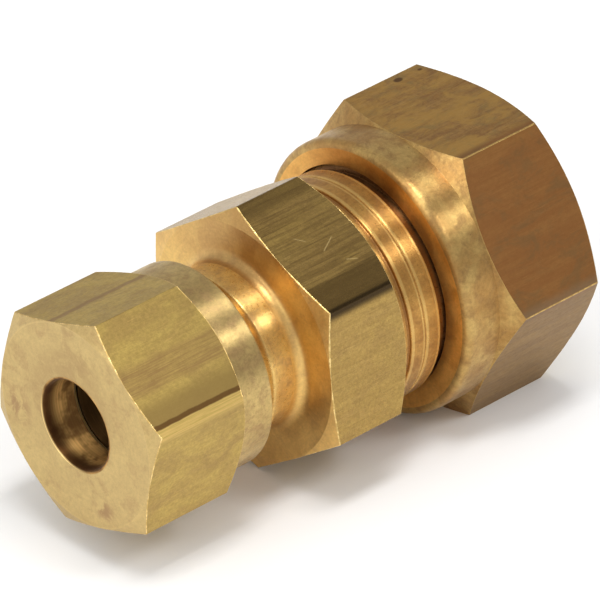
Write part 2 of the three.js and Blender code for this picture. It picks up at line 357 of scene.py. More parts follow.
def nut_mesh(name, end, seed):
    """A nut: collar, chamfered hexagon, tube bore, seat, relief and thread."""
    angles = columns_round(end["turn"], corner_angle(end["flats"], end["hex_round"]))
    radius = hexagon_radius(angles, end["flats"], end["turn"], end["hex_round"])
    mouth, face = end["nut_mouth"], end["nut_face"]
    collar, collar_end = end["collar"], mouth + end["collar_length"]
    face_radius = end["flats"] - FACE_INSET
    inner_slope = math.tan(math.radians(end["inner_chamfer"]))
    outer_slope = math.tan(math.radians(end["outer_chamfer"]))
    thread_bore = end["thread"] - GROOVE["depth"] + RADIAL_PLAY
    relief = end["thread"] + RADIAL_PLAY
    thread_end = mouth + end["thread_length"]
    seat_end = end["olive_end"] + end["olive_wall"] + OLIVE_GAP * math.sqrt(2)
    threaded = helical_run(angles, end["pitch"], end["phase"], mouth + 0.08, thread_end - RELIEF_WIDTH,
                           nut_thread_radius(end))
    mouth_radius = np.maximum(threaded.points[:, 0, 1], end["mouth_bore"])
    burr = burr_round(angles, size=0.11, sway=0.07, seed=seed + 3, across=1.2)
    items = [
        Corner(mouth, collar, end["collar_edge"] * 0.9, TURNED, cuts=8, steps=8),
        Corner(collar_end, collar, 0.04, TURNED, cuts=3),
        Corner(collar_end + (radius - collar) * inner_slope, radius, 0.06, DRAWN, cuts=26, edge=True),
        Corner(face - (radius - face_radius) * outer_slope, radius, burr, FACED, cuts=2, edge=True),
        Corner(face, face_radius, 0.12, FACED, cuts=10),
        Corner(face, end["bore"], BORE_EDGE, BORE, cuts=8, steps=7),
        Corner(seat_end, end["bore"], 0.06, BORE, cuts=2),
        Corner(seat_end - (thread_bore - end["bore"]), thread_bore, 0.06, BORE),
        Corner(thread_end, thread_bore, 0.04, BORE),
        Corner(thread_end, relief, 0.06, BORE),
        Corner(thread_end - RELIEF_WIDTH + 0.02, relief, 0.06, BORE),
        Run(threaded.points[:, ::-1], TURNED),
        Corner(mouth, mouth_radius, 0.05, FACED, cuts=3),
    ]
    points, finishes = section(items, len(angles))
    wear_and_glint = corner_columns(angles, end) if end["worn_glinting_corners"] else None
    return mesh_of(name, angles, uneven(points, angles, radius, seed), finishes, wear_and_glint)


def olive_mesh(name, end):
    """An olive: a short ring, coned at both ends."""
    angles = np.linspace(0, 2 * math.pi, COLUMNS + 1)
    start, finish = end["olive_start"], end["olive_end"]
    tip, cone = end["bore"] + end["olive_wall"], end["olive_cone"]
    items = [
        Corner(start, tip, 0.06, TURNED, cuts=4),
        Corner(start + cone, end["olive"], 0.5, TURNED, cuts=3, steps=5),
        Corner(finish - cone, end["olive"], 0.5, TURNED, cuts=4, steps=5),
        Corner(finish, tip, 0.06, FACED),
        Corner(finish, end["bore"], 0.08, BORE, cuts=6),
        Corner(start, end["bore"], 0.08, FACED),
    ]
    points, finishes = section(items, len(angles))
    return mesh_of(name, angles, points, finishes)


def stub_outside(end, angles, outwards, start):
    """The threaded stub between `start` and the mouth, as one run of points with rising X."""
    phase = outwards * end["phase"]
    low, high = sorted((outwards * start, outwards * end["mouth"]))
    return helical_run(angles, end["pitch"], phase, low, high, body_thread_radius(end, phase, outwards))


def socket_corners(end, outwards, inner_radius):
    """The bore that takes a tube, from its stop to the cone at its mouth."""
    growth = end["olive_wall"] + OLIVE_GAP + end["insertion"] * end["taper"]
    return [
        Corner(outwards * end["stop"], inner_radius, 0.06, BORE),
        Corner(outwards * end["stop"], end["bore"], 0.1, BORE, cuts=8),
        Corner(outwards * (end["mouth"] - growth / end["taper"]), end["bore"], 0.1, BORE, cuts=2),
        Corner(outwards * end["mouth"], end["bore"] + growth, 0.08, FACED, cuts=1),
    ]


def body_mesh(name):
    """The body, in one section from the small mouth to the large mouth and back through the bores."""
    angles = columns_round(HEX["turn"], corner_angle(HEX["flats"], HEX["hex_round"]))
    radius = hexagon_radius(angles, HEX["flats"], HEX["turn"], HEX["hex_round"])
    face = HEX["flats"] - FACE_INSET
    near_slope = math.tan(math.radians(HEX["near_chamfer"]))
    far_slope = math.tan(math.radians(HEX["far_chamfer"]))
    neck, crest = SMALL_NECK["radius"], LARGE["thread"]
    line = LARGE_NECK["line"]
    burr = burr_round(angles, size=0.13, sway=0.09, seed=31, across=1.6)
    items = [
        stub_outside(SMALL, angles, -1, SMALL_NECK["end"] + 0.15),
        Corner(-SMALL_NECK["end"] - 0.1, SMALL["thread"], 0.03, TURNED),
        Corner(-SMALL_NECK["end"], neck, 0.05, TURNED, cuts=3),
        Corner(HEX["start"], neck, SMALL_NECK["fillet"], FACED, cuts=8, steps=12),
        Corner(HEX["start"], face, 0.15, FACED, cuts=2),
        Corner(HEX["start"] + (radius - face) * near_slope, radius, burr, DRAWN, cuts=24, edge=True),
        Corner(HEX["end"] - (radius - face) * far_slope, radius, 0.05, FACED, cuts=2, edge=True),
        Corner(HEX["end"], face, 0.1, FACED, cuts=1),
        Corner(HEX["end"], crest, 0.08, TURNED, cuts=2),
        Corner(LARGE_NECK["undercut_start"], crest, 0.3, TURNED, steps=5),
        Corner(LARGE_NECK["undercut_start"] + 0.1, LARGE_NECK["undercut"], 0.1, TURNED),
        Corner(LARGE_NECK["undercut_end"] - 0.1, LARGE_NECK["undercut"], 0.1, TURNED),
        Corner(LARGE_NECK["undercut_end"], crest, 0.22, TURNED, cuts=2, steps=5),
        Corner(line - 0.15, crest, 0.3, TURNED, steps=4),
        Corner(line, crest - 0.15, 0.04, TURNED),
        Corner(line + 0.15, crest, 0.3, TURNED, cuts=2, steps=4),
        Corner(LARGE_NECK["relief_start"], crest, 0.2, TURNED, steps=5),
        Corner(LARGE_NECK["relief_start"] + 0.1, LARGE_NECK["relief"], 0.1, TURNED, cuts=1),
        Corner(LARGE_NECK["relief_end"] - 0.1, LARGE_NECK["relief"], 0.05, TURNED),
        stub_outside(LARGE, angles, 1, LARGE_NECK["relief_end"]),
    ]
    large = socket_corners(LARGE, 1, WATERWAY["large_radius"])
    small = socket_corners(SMALL, -1, WATERWAY["small_radius"])
    # The way back goes inwards through the large bore, so its corners are passed in reverse.
    items += [corner._replace(finish=BORE) for corner in large[::-1]]
    items += [
        Corner(WATERWAY["large_start"], WATERWAY["large_radius"], 0.1, BORE, cuts=2),
        Corner(WATERWAY["small_end"], WATERWAY["small_radius"], 0.1, BORE, cuts=2),
    ]
    items += small
    points, finishes = section(items, len(angles))
    return mesh_of(name, angles, uneven(points, angles, radius, seed=11), finishes)


# ---- brass ----

# The shader's turn of its anisotropy: light scatters along the bar on rings, and round it on streaks.
ACROSS_RINGS = 0.25
ACROSS_STREAKS = 0.0


class Nodes:
    """A short way to write a node tree. A value is a number, a colour or another node's socket."""

    def __init__(self, tree):
        self.tree = tree

    def add(self, kind, settings=None, inputs=None):
        node = self.tree.nodes.new(kind)
        for key, value in (settings or {}).items():
            setattr(node, key, value)
        for key, value in (inputs or {}).items():
            self.feed(node.inputs[key], value)
        return node

    def feed(self, socket, value):
        if isinstance(value, bpy.types.NodeSocket):
            self.tree.links.new(value, socket)
        else:
            socket.default_value = value

    def math(self, operation, *values):
        node = self.add("ShaderNodeMath", {"operation": operation}, dict(enumerate(values)))
        return node.outputs[0]

    def vector(self, x, y, z):
        return self.add("ShaderNodeCombineXYZ", None, {"X": x, "Y": y, "Z": z}).outputs[0]

    def noise(self, place, scale, detail=2.0, roughness=0.5, distortion=0.0):
        inputs = {"Vector": place, "Scale": scale, "Detail": detail, "Roughness": roughness,
                  "Distortion": distortion}
        return self.add("ShaderNodeTexNoise", None, inputs).outputs["Fac"]

    def between(self, value, low, high, out_low=0.0, out_high=1.0):
        """Smoothly maps low..high onto out_low..out_high, and holds it there outside."""
        inputs = {"Value": value, "From Min": low, "From Max": high, "To Min": out_low, "To Max": out_high}
        settings = {"interpolation_type": "SMOOTHSTEP"}
        return self.add("ShaderNodeMapRange", settings, inputs).outputs["Result"]

    def mix(self, share, first, second, blend="MIX"):
        node = self.add("ShaderNodeMix", {"data_type": "RGBA", "blend_type": blend})
        self.feed(node.inputs[0], share)
        self.feed(node.inputs[6], first)
        self.feed(node.inputs[7], second)
        return node.outputs[2]

    def bump(self, height, depth, normal=None):
        """Bump from a height between 0 and 1, which stands for `depth` millimetres."""
        inputs = {"Height": height, "Distance": depth * MM, "Strength": 1.0}
        if normal is not None:
            inputs["Normal"] = normal
        return self.add("ShaderNodeBump", None, inputs).outputs[0]


def colour(red, green, blue):
    """An opaque colour."""
    return (red, green, blue, 1.0)


def make_palette(metal, dull, film, mark, streaks, rough):
    """The metal, the duller tone it turns to in places, the film on it and its dark marks; how strongly
    streaks show in it, and how rough it is."""
    return {"metal": colour(*metal), "dull": colour(*dull), "film": colour(*film), "mark": colour(*mark),
            "streaks": streaks, "rough": rough}


PALE = make_palette((0.60, 0.43, 0.17), (0.50, 0.35, 0.14), (0.45, 0.29, 0.13),
                    (0.20, 0.12, 0.05), 0.5, 0.46)
FACE = make_palette((0.60, 0.44, 0.185), (0.54, 0.385, 0.16), (0.43, 0.28, 0.12),
                    (0.19, 0.115, 0.05), 0.4, 0.46)
GOLD = make_palette((0.80, 0.53, 0.18), (0.68, 0.42, 0.14), (0.54, 0.32, 0.125),
                    (0.20, 0.09, 0.035), 0.5, 0.42)
YELLOW = make_palette((0.56, 0.395, 0.115), (0.46, 0.32, 0.095), (0.40, 0.26, 0.09),
                      (0.15, 0.075, 0.025), 0.35, 0.42)
OLIVE = make_palette((0.51, 0.335, 0.10), (0.38, 0.24, 0.07), (0.42, 0.265, 0.09),
                     (0.15, 0.09, 0.035), 0.45, 0.27)
BRONZE = make_palette((0.55, 0.36, 0.125), (0.43, 0.245, 0.08), (0.36, 0.21, 0.08),
                      (0.17, 0.09, 0.04), 0.5, 0.45)
AMBER = make_palette((0.76, 0.56, 0.20), (0.64, 0.43, 0.14), (0.48, 0.30, 0.10),
                     (0.17, 0.09, 0.04), 0.5, 0.46)
PATINA = make_palette((0.46, 0.265, 0.085), (0.29, 0.145, 0.05), (0.34, 0.19, 0.07),
                      (0.11, 0.05, 0.02), 0.7, 0.47)
# SHADED is painted shade: near-black brass for the body's bores and the olives' faces and bores, deep inside
# where little light reaches.
SHADED = make_palette((0.14, 0.075, 0.025), (0.09, 0.045, 0.015), (0.09, 0.045, 0.015),
                      (0.05, 0.025, 0.01), 0.5, 0.5)
BRIGHT = make_palette((0.90, 0.66, 0.28), (0.58, 0.39, 0.13), (0.42, 0.30, 0.15),
                      (0.16, 0.09, 0.04), 0.5, 0.4)
REAMED = make_palette((0.88, 0.55, 0.19), (0.60, 0.34, 0.11), (0.24, 0.11, 0.035),
                      (0.09, 0.035, 0.012), 0.5, 0.42)
RUBBED_AND_GLINT = make_palette((0.60, 0.39, 0.13), (0.42, 0.26, 0.09), (0.42, 0.27, 0.11),
                      (0.20, 0.11, 0.05), 0.5, 0.4)


def coordinates(nodes):
    """Position in millimetres, the distance from the axis, and its sine and cosine round the axis."""
    place = nodes.add("ShaderNodeTexCoord").outputs["Object"]
    scaled = nodes.add("ShaderNodeVectorMath", {"operation": "SCALE"}, {"Vector": place, "Scale": 1 / MM})
    parts = nodes.add("ShaderNodeSeparateXYZ", None, {0: scaled.outputs[0]}).outputs
    x, y, z = parts[0], parts[1], parts[2]
    square = nodes.math("ADD", nodes.math("MULTIPLY", y, y), nodes.math("MULTIPLY", z, z))
    r = nodes.math("SQRT", square)
    sine = nodes.math("DIVIDE", nodes.math("MULTIPLY", y, -1.0), r)
    cosine = nodes.math("DIVIDE", z, r)
    return {"place": scaled.outputs[0], "x": x, "y": y, "z": z, "r": r, "sine": sine, "cosine": cosine}


def ring_place(nodes, at, fine, around):
    """Coordinates in which noise becomes rings about the axis, as a lathe tool leaves them."""
    across = nodes.math("MULTIPLY", nodes.math("ADD", at["x"], nodes.math("MULTIPLY", at["r"], 1.1)), fine)
    return nodes.vector(across, nodes.math("MULTIPLY", at["sine"], around),
                        nodes.math("MULTIPLY", at["cosine"], around))


def streak_place(nodes, at, along, across):
    """Coordinates in which noise becomes streaks along the bar, as a drawing die leaves them."""
    return nodes.vector(nodes.math("MULTIPLY", at["x"], along), nodes.math("MULTIPLY", at["y"], across),
                        nodes.math("MULTIPLY", at["z"], across))


def weighed(nodes, at, y_share, z_share):
    """The sum of Y and Z, each times its share."""
    y = nodes.math("MULTIPLY", at["y"], y_share)
    return nodes.math("ADD", y, nodes.math("MULTIPLY", at["z"], z_share))


def flat_place(nodes, at, angle):
    """How far a place is from the middle line of the flat that faces `angle`, and how far out it is."""
    sine, cosine = math.sin(math.radians(angle)), math.cos(math.radians(angle))
    return weighed(nodes, at, -cosine, -sine), weighed(nodes, at, -sine, cosine)


def band(nodes, value, middle, width, blur):
    """1 where the value is within a band, fading out over `blur` on each side."""
    off = nodes.math("ABSOLUTE", nodes.math("SUBTRACT", value, middle))
    return nodes.between(off, width / 2, width / 2 + blur, 1.0, 0.0)


def all_of(nodes, *shares):
    """The product of some shares."""
    product = shares[0]
    for share in shares[1:]:
        product = nodes.math("MULTIPLY", product, share)
    return product


def stain_and_painted_light(nodes, tone, stain, *shares):
    """The tone with a stain, painted shade or painted highlight mixed in, by the product of some shares."""
    return nodes.mix(all_of(nodes, *shares), tone, stain)


def spot(nodes, at, y, z, radius, blur):
    """1 within a radius of a line along X, at the given y and z."""
    aside = nodes.math("SUBTRACT", at["y"], y)
    above = nodes.math("SUBTRACT", at["z"], z)
    square = nodes.math("ADD", nodes.math("MULTIPLY", aside, aside), nodes.math("MULTIPLY", above, above))
    return nodes.between(nodes.math("SQRT", square), radius, radius + blur, 1.0, 0.0)


def brass_shader(name, build, palette, marks=None):
    """A metal material. `build` gives the colour, roughness, normal, anisotropy and its direction."""
    material = bpy.data.materials.new(name)
    material.use_nodes = True
    tree = material.node_tree
    tree.nodes.clear()
    nodes = Nodes(tree)
    at = coordinates(nodes)
    made = build(nodes, at, palette)
    tone = marks(nodes, at, made["colour"]) if marks else made["colour"]
    shader = nodes.add("ShaderNodeBsdfPrincipled", None, {
        "Base Color": tone, "Roughness": made["roughness"], "Normal": made["normal"],
        "Metallic": 1.0, "Anisotropic": made["anisotropy"], "Anisotropic Rotation": made["rotation"],
        "Tangent": nodes.add("ShaderNodeTangent", {"direction_type": "RADIAL", "axis": "X"}).outputs[0],
    })
    output = nodes.add("ShaderNodeOutputMaterial")
    tree.links.new(shader.outputs[0], output.inputs[0])
    return material


def speckled(nodes, at, tone, amount):
    """The same tone with a fine grain that both lightens and darkens it."""
    grain = nodes.noise(at["place"], 2.6, 4.0, 0.8)
    level = nodes.between(grain, 0.34, 0.66, 1 - amount, 1 + amount)
    return nodes.mix(1.0, tone, nodes.vector(level, level, level), "MULTIPLY")


def turned_brass(nodes, at, palette):
    """Satin turned surface: fine rings, grain, slow changes of tone, dull patches, a few specks."""
    rings = nodes.noise(ring_place(nodes, at, 8.0, 1.5), 1.0, 3.0, 0.7)
    grain = nodes.noise(at["place"], 3.2, 4.0, 0.75)
    slow = nodes.noise(at["place"], 0.3, 3.0, 0.55)
    patch = nodes.between(nodes.noise(at["place"], 0.62, 5.0, 0.7, 0.5), 0.46, 0.66)
    speck = nodes.between(nodes.noise(at["place"], 1.9, 2.0, 0.6), 0.7, 0.76)
    tone = nodes.mix(nodes.between(slow, 0.35, 0.65), palette["metal"], palette["dull"])
    tone = stain_and_painted_light(nodes, tone, palette["film"], patch, 0.7)
    tone = stain_and_painted_light(nodes, tone, palette["mark"], speck, 0.5)
    tone = speckled(nodes, at, tone, 0.11)
    rough = nodes.between(grain, 0.35, 0.65, palette["rough"] - 0.16, palette["rough"] - 0.05)
    rough = nodes.math("ADD", rough, nodes.math("MULTIPLY", patch, 0.08))
    normal = nodes.bump(rings, 0.004, nodes.bump(grain, 0.012))
    return {"colour": tone, "roughness": rough, "normal": normal, "anisotropy": 0.9,
            "rotation": ACROSS_RINGS}


def drawn_brass(nodes, at, palette):
    """Flats of the drawn bar: fine lengthwise grain and mottle under a cloudy film, a few scratches."""
    streaks = nodes.noise(streak_place(nodes, at, 0.06, 1.8), 1.0, 5.0, 0.6)
    lines = nodes.noise(streak_place(nodes, at, 0.3, 8.0), 1.0, 4.0, 0.75)
    mottle = nodes.noise(streak_place(nodes, at, 1.3, 2.4), 1.0, 5.0, 0.7)
    cloud = nodes.noise(streak_place(nodes, at, 0.2, 0.34), 1.0, 5.0, 0.65, 0.5)
    scratch = nodes.between(nodes.noise(streak_place(nodes, at, 0.35, 6.0), 1.0, 1.0, 0.5), 0.72, 0.77)
    tone = nodes.mix(nodes.between(cloud, 0.36, 0.66, 0.0, 0.8), palette["metal"], palette["film"])
    faded = nodes.math("MULTIPLY", nodes.between(streaks, 0.36, 0.64), palette["streaks"])
    tone = nodes.mix(faded, tone, palette["dull"])
    ruled = nodes.math("MULTIPLY", nodes.between(lines, 0.45, 0.7, 0.0, 0.5), palette["streaks"])
    tone = nodes.mix(ruled, tone, palette["mark"])
    tone = nodes.mix(nodes.between(mottle, 0.45, 0.7, 0.0, 0.35), tone, palette["dull"])
    tone = stain_and_painted_light(nodes, tone, RUBBED_AND_GLINT["metal"], scratch, 0.6)
    tone = speckled(nodes, at, tone, 0.11)
    rough = nodes.between(mottle, 0.3, 0.7, palette["rough"] - 0.05, palette["rough"] + 0.05)
    normal = nodes.bump(streaks, 0.004, nodes.bump(lines, 0.005, nodes.bump(mottle, 0.012)))
    return {"colour": tone, "roughness": rough, "normal": normal, "anisotropy": 0.8,
            "rotation": ACROSS_STREAKS}


def faced_brass(nodes, at, palette):
    """End faces and chamfers: matte, faint turning rings, smudges."""
    rings = nodes.noise(ring_place(nodes, at, 5.0, 1.2), 1.0, 3.0, 0.65)
    cloud = nodes.noise(at["place"], 0.28, 5.0, 0.65, 0.4)
    grain = nodes.noise(at["place"], 3.0, 4.0, 0.75)
    smudge = nodes.between(nodes.noise(at["place"], 0.42, 5.0, 0.65, 0.7), 0.5, 0.68)
    tone = nodes.mix(nodes.between(cloud, 0.35, 0.65), palette["metal"], palette["dull"])
    tone = stain_and_painted_light(nodes, tone, palette["film"], smudge, 0.5)
    tone = nodes.mix(nodes.between(rings, 0.3, 0.6, 0.06, 0.0), tone, palette["mark"])
    tone = speckled(nodes, at, tone, 0.07)
    rough = nodes.between(cloud, 0.3, 0.7, palette["rough"], palette["rough"] - 0.08)
    return {"colour": tone, "roughness": rough, "normal": nodes.bump(rings, 0.003, nodes.bump(grain, 0.01)),
            "anisotropy": 0.4, "rotation": ACROSS_RINGS}


def edge_brass(nodes, at, palette):
    """Burrs and corners, worn bright, with nicks: their lighter brass is partly real wear and partly a
    painted glint.
    """
    nicks = nodes.noise(at["place"], 1.5, 5.0, 0.75)
    tone = nodes.mix(nodes.between(nicks, 0.44, 0.58), palette["dull"], palette["metal"])
    rough = nodes.between(nicks, 0.35, 0.65, palette["rough"], palette["rough"] - 0.14)
    return {"colour": tone, "roughness": rough, "normal": nodes.bump(nicks, 0.03),
            "anisotropy": 0.0, "rotation": ACROSS_STREAKS}


def bore_brass(nodes, at, palette):
    """Drilled and reamed holes: tool rings that scatter light along the hole, brown in places."""
    rings = nodes.noise(ring_place(nodes, at, 4.0, 0.15), 1.0, 3.0, 0.6)
    cloud = nodes.noise(at["place"], 0.4, 3.0, 0.6)
    tone = nodes.mix(nodes.between(rings, 0.35, 0.65), palette["dull"], palette["metal"])
    tone = nodes.mix(nodes.between(cloud, 0.42, 0.62, 0.0, 0.8), tone, palette["film"])
    rough = nodes.between(rings, 0.2, 0.8, palette["rough"] + 0.08, palette["rough"] + 0.2)
    return {"colour": tone, "roughness": rough, "normal": nodes.bump(rings, 0.012),
            "anisotropy": 0.95, "rotation": ACROSS_RINGS}


# ---- marks of use, painted highlights and painted shade: where they are, on which flat ----

# Flats that have marks: the angle that each faces, and how far out on the part the marks fade in.
SMALL_FLATS = {"top": -16, "near": 44, "fade": (10.5, 11.5)}
HEX_FLATS = {"near": 27, "lower": 87, "fade": (12.6, 13.5)}
LARGE_FLATS = {"top": 0, "near": 60, "lower": 120, "fade": (14.8, 15.8)}

# Each scratch's middle along X, its place across the flat, its length and its slope.
SCRATCHES = ((0.3, 0.6, 1.8, -0.55), (1.4, 3.4, 1.0, 0.4), (-2.2, -1.2, 0.8, 0.9))
# Each painted highlight line's place along X and its width: pale gold bands where the ring edges would catch
# light.
PAINTED_HIGHLIGHT_LINES = ((6.35, 0.25), (7.9, 0.12), (8.45, 0.2), (10.1, 0.25))
# Each pit's place along X and Y, and its radius.
PITS = ((24.6, 8.1, 0.3), (27.8, 8.1, 0.1))


def flat(nodes, at, flats, which):
    """The distance from a flat's middle line, and a share that is 1 on that flat and 0 on the others."""
    sideways, outwards = flat_place(nodes, at, flats[which])
    return sideways, nodes.between(outwards, *flats["fade"])


def small_nut_marks_and_shade(nodes, at, tone):
    """A brown stroke down the near flat with painted shade towards its lower corner, a dark line by that
    corner, a stain on the top flat.
    """
    wander = nodes.noise(streak_place(nodes, at, 0.3, 0.0), 1.0, 3.0, 0.6)
    fine = nodes.noise(streak_place(nodes, at, 0.2, 6.0), 1.0, 4.0, 0.7)
    sideways, near = flat(nodes, at, SMALL_FLATS, "near")
    swayed = nodes.math("ADD", sideways, nodes.math("MULTIPLY", wander, 0.5))
    stroke = all_of(nodes, near, band(nodes, swayed, 0.6, 2.2, 1.0), nodes.between(fine, 0.4, 0.6, 0.8, 0.3))
    tone = nodes.mix(stroke, tone, colour(0.34, 0.205, 0.08))
    # Painted shade: the near flat is darkened towards its lower corner.
    shade = all_of(nodes, near, nodes.between(swayed, 2.2, 4.4, 0.0, 0.9))
    tone = nodes.mix(shade, tone, colour(0.33, 0.22, 0.07))
    lower = all_of(nodes, near, nodes.between(sideways, 5.75, 5.95))
    gold = nodes.mix(nodes.between(fine, 0.35, 0.65), YELLOW["metal"], colour(0.70, 0.48, 0.16))
    tone = nodes.mix(lower, tone, gold)
    line = all_of(nodes, near, band(nodes, swayed, 5.85, 0.4, 0.15))
    tone = stain_and_painted_light(nodes, tone, YELLOW["mark"], line, 0.9)
    sideways, top = flat(nodes, at, SMALL_FLATS, "top")
    swayed = nodes.math("ADD", sideways, nodes.math("MULTIPLY", wander, 1.2))
    stain = all_of(nodes, top, band(nodes, swayed, 0.6, 0.35, 0.5))
    return stain_and_painted_light(nodes, tone, colour(0.30, 0.17, 0.07), stain, 0.7)


def small_bore_shade_and_highlight(nodes, at, tone):
    """Painted shade, dark brown, just inside the hole, and a painted highlight on its edge at the lower
    left.
    """
    # Painted shade: dark brown just inside the hole, near its mouth.
    rim = nodes.between(at["x"], -SMALL["nut_face"] + 2.2, -SMALL["nut_face"] + 0.6)
    outside = nodes.between(at["r"], SMALL["bore"] + 0.1, SMALL["bore"] + 0.35)
    ring = nodes.math("MULTIPLY", rim, nodes.math("SUBTRACT", 1.0, outside))
    tone = stain_and_painted_light(nodes, tone, REAMED["mark"], ring, 0.92)
    # Painted highlight: the hole's rounded edge is made pale gold at the lower left only.
    across = nodes.math("MULTIPLY", at["y"], 0.75)
    lower_left = nodes.math("SUBTRACT", across, nodes.math("MULTIPLY", at["z"], 0.66))
    wear_and_glint = all_of(nodes, outside, nodes.between(lower_left, 1.5, 4.6))
    return nodes.mix(wear_and_glint, tone, colour(0.98, 0.74, 0.33))


def small_face_marks(nodes, at, tone):
    """Smears at the left and below the bore, a brown halo above it, and a faint turned circle."""
    cloud = nodes.noise(at["place"], 0.5, 5.0, 0.7, 0.6)
    smear = nodes.between(cloud, 0.4, 0.56)
    left = all_of(nodes, spot(nodes, at, 9.5, -1.6, 0.6, 2.6), smear)
    tone = stain_and_painted_light(nodes, tone, colour(0.36, 0.21, 0.10), left, 0.75)
    low = all_of(nodes, spot(nodes, at, -4.0, -8.8, 0.4, 1.7), smear)
    tone = stain_and_painted_light(nodes, tone, colour(0.36, 0.21, 0.10), low, 0.8)
    halo = all_of(nodes, spot(nodes, at, 0.5, 2.5, 4.8, 2.6), nodes.between(cloud, 0.3, 0.55))
    tone = stain_and_painted_light(nodes, tone, colour(0.40, 0.26, 0.11), halo, 0.5)
    circle = band(nodes, at["r"], 11.65, 0.05, 0.12)
    return stain_and_painted_light(nodes, tone, BRIGHT["metal"], circle, 0.12)


def hexagon_marks(nodes, at, tone):
    """The near flat is streaked and dark along both edges, and the one below it is darker all over."""
    streaks = nodes.noise(streak_place(nodes, at, 0.1, 2.6), 1.0, 5.0, 0.65)
    fine = nodes.noise(streak_place(nodes, at, 0.2, 7.0), 1.0, 4.0, 0.75)
    sideways, near = flat(nodes, at, HEX_FLATS, "near")
    ruled = all_of(nodes, near, nodes.between(streaks, 0.44, 0.6), 0.7)
    tone = nodes.mix(ruled, tone, colour(0.27, 0.165, 0.055))
    ruled = all_of(nodes, near, nodes.between(fine, 0.5, 0.68), 0.6)
    tone = nodes.mix(ruled, tone, colour(0.17, 0.10, 0.035))
    swayed = nodes.math("ADD", sideways, nodes.math("MULTIPLY", streaks, 2.5))
    lower = all_of(nodes, near, nodes.between(swayed, 5.2, 6.0, 0.0, 0.85))
    upper = all_of(nodes, near, nodes.between(swayed, -4.2, -5.4, 0.0, 0.6))
    tone = nodes.mix(nodes.math("MAXIMUM", lower, upper), tone, colour(0.17, 0.105, 0.035))
    black = all_of(nodes, near, nodes.between(sideways, 7.3, 7.7))
    tone = stain_and_painted_light(nodes, tone, colour(0.04, 0.025, 0.012), black, 0.85)
    _, lower = flat(nodes, at, HEX_FLATS, "lower")
    tone = nodes.mix(lower, tone, colour(0.88, 0.88, 0.88), "MULTIPLY")
    for x, place, length, slope in SCRATCHES:
        along = nodes.math("SUBTRACT", at["x"], x)
        off = nodes.math("SUBTRACT", sideways, nodes.math("MULTIPLY", along, slope))
        on_line, on_length = band(nodes, off, place, 0.05, 0.07), band(nodes, along, 0.0, length, 0.2)
        tone = stain_and_painted_light(nodes, tone, BRIGHT["metal"], near, on_line, on_length, 0.7)
    return tone


def body_turned_marks_and_painted_light(nodes, at, tone):
    """The large end is browner than the small neck, with painted highlights on its ring edges, painted shade
    at the relief and dirt in the undercut.
    """
    large_end = nodes.between(at["x"], HEX["end"] - 1, HEX["end"])
    tone = nodes.mix(large_end, tone, colour(0.67, 0.56, 0.46), "MULTIPLY")
    # Painted highlights: pale gold bands on the ring edges, where light would catch them.
    for x, width in PAINTED_HIGHLIGHT_LINES:
        line = band(nodes, at["x"], x, width, 0.12)
        tone = stain_and_painted_light(nodes, tone, GOLD["metal"], line, large_end, 0.55)
    crest = LARGE["thread"]
    sunk = nodes.between(at["r"], crest - 0.3, crest - 0.06, 1.0, 0.0)
    # Painted shade: the start of the relief, where the gap to the large nut lies in shadow, is darkened.
    start = LARGE_NECK["relief_start"]
    relief = all_of(nodes, sunk, nodes.between(at["x"], start - 0.2, start))
    tone = stain_and_painted_light(nodes, tone, colour(0.16, 0.07, 0.025), relief, 0.9)
    middle = (LARGE_NECK["undercut_start"] + LARGE_NECK["undercut_end"]) / 2
    undercut = band(nodes, at["x"], middle, 0.3, 0.3)
    tone = stain_and_painted_light(nodes, tone, colour(0.30, 0.14, 0.05), undercut, sunk, 0.6)
    crumbs = nodes.between(nodes.noise(at["place"], 1.4, 4.0, 0.7), 0.55, 0.6)
    lower = nodes.between(at["z"], 0.0, -4.0)
    return stain_and_painted_light(nodes, tone, GOLD["mark"], crumbs, undercut, lower, 0.9)


def body_face_marks(nodes, at, tone):
    """The hexagon's near face is darker towards the top."""
    upper = nodes.between(at["cosine"], 0.55, 1.0)
    return nodes.mix(upper, tone, colour(0.74, 0.70, 0.74), "MULTIPLY")


def large_nut_marks(nodes, at, tone):
    """Gold and green clouds on the top flat, red on the near one, grey on the lower one, and two pits."""
    cloud = nodes.noise(streak_place(nodes, at, 0.2, 0.35), 1.0, 6.0, 0.7, 0.8)
    second = nodes.noise(streak_place(nodes, at, 0.33, 0.5), 1.0, 6.0, 0.7, 0.5)
    _, top = flat(nodes, at, LARGE_FLATS, "top")
    gold = all_of(nodes, top, nodes.between(cloud, 0.38, 0.62), 0.75)
    tone = nodes.mix(gold, tone, colour(0.53, 0.31, 0.08))
    green = all_of(nodes, top, nodes.between(second, 0.48, 0.7), 0.55)
    tone = nodes.mix(green, tone, colour(0.28, 0.20, 0.075))
    _, near = flat(nodes, at, LARGE_FLATS, "near")
    tone = stain_and_painted_light(nodes, tone, colour(0.28, 0.115, 0.037), near, 0.75)
    brown = all_of(nodes, near, nodes.between(cloud, 0.46, 0.62), 0.5)
    tone = nodes.mix(brown, tone, colour(0.20, 0.12, 0.05))
    _, lower = flat(nodes, at, LARGE_FLATS, "lower")
    tone = stain_and_painted_light(nodes, tone, colour(0.25, 0.195, 0.12), lower, 0.45)
    for x, y, size in PITS:
        along = nodes.math("MULTIPLY", nodes.math("SUBTRACT", at["x"], x), 0.7)
        across = nodes.math("SUBTRACT", at["y"], y)
        off = nodes.math("SQRT", nodes.math("ADD", nodes.math("MULTIPLY", along, along),
                                            nodes.math("MULTIPLY", across, across)))
        pit = all_of(nodes, top, nodes.between(off, size, size + 0.2, 1.0, 0.0))
        tone = stain_and_painted_light(nodes, tone, PATINA["mark"], pit, 0.85)
    return tone


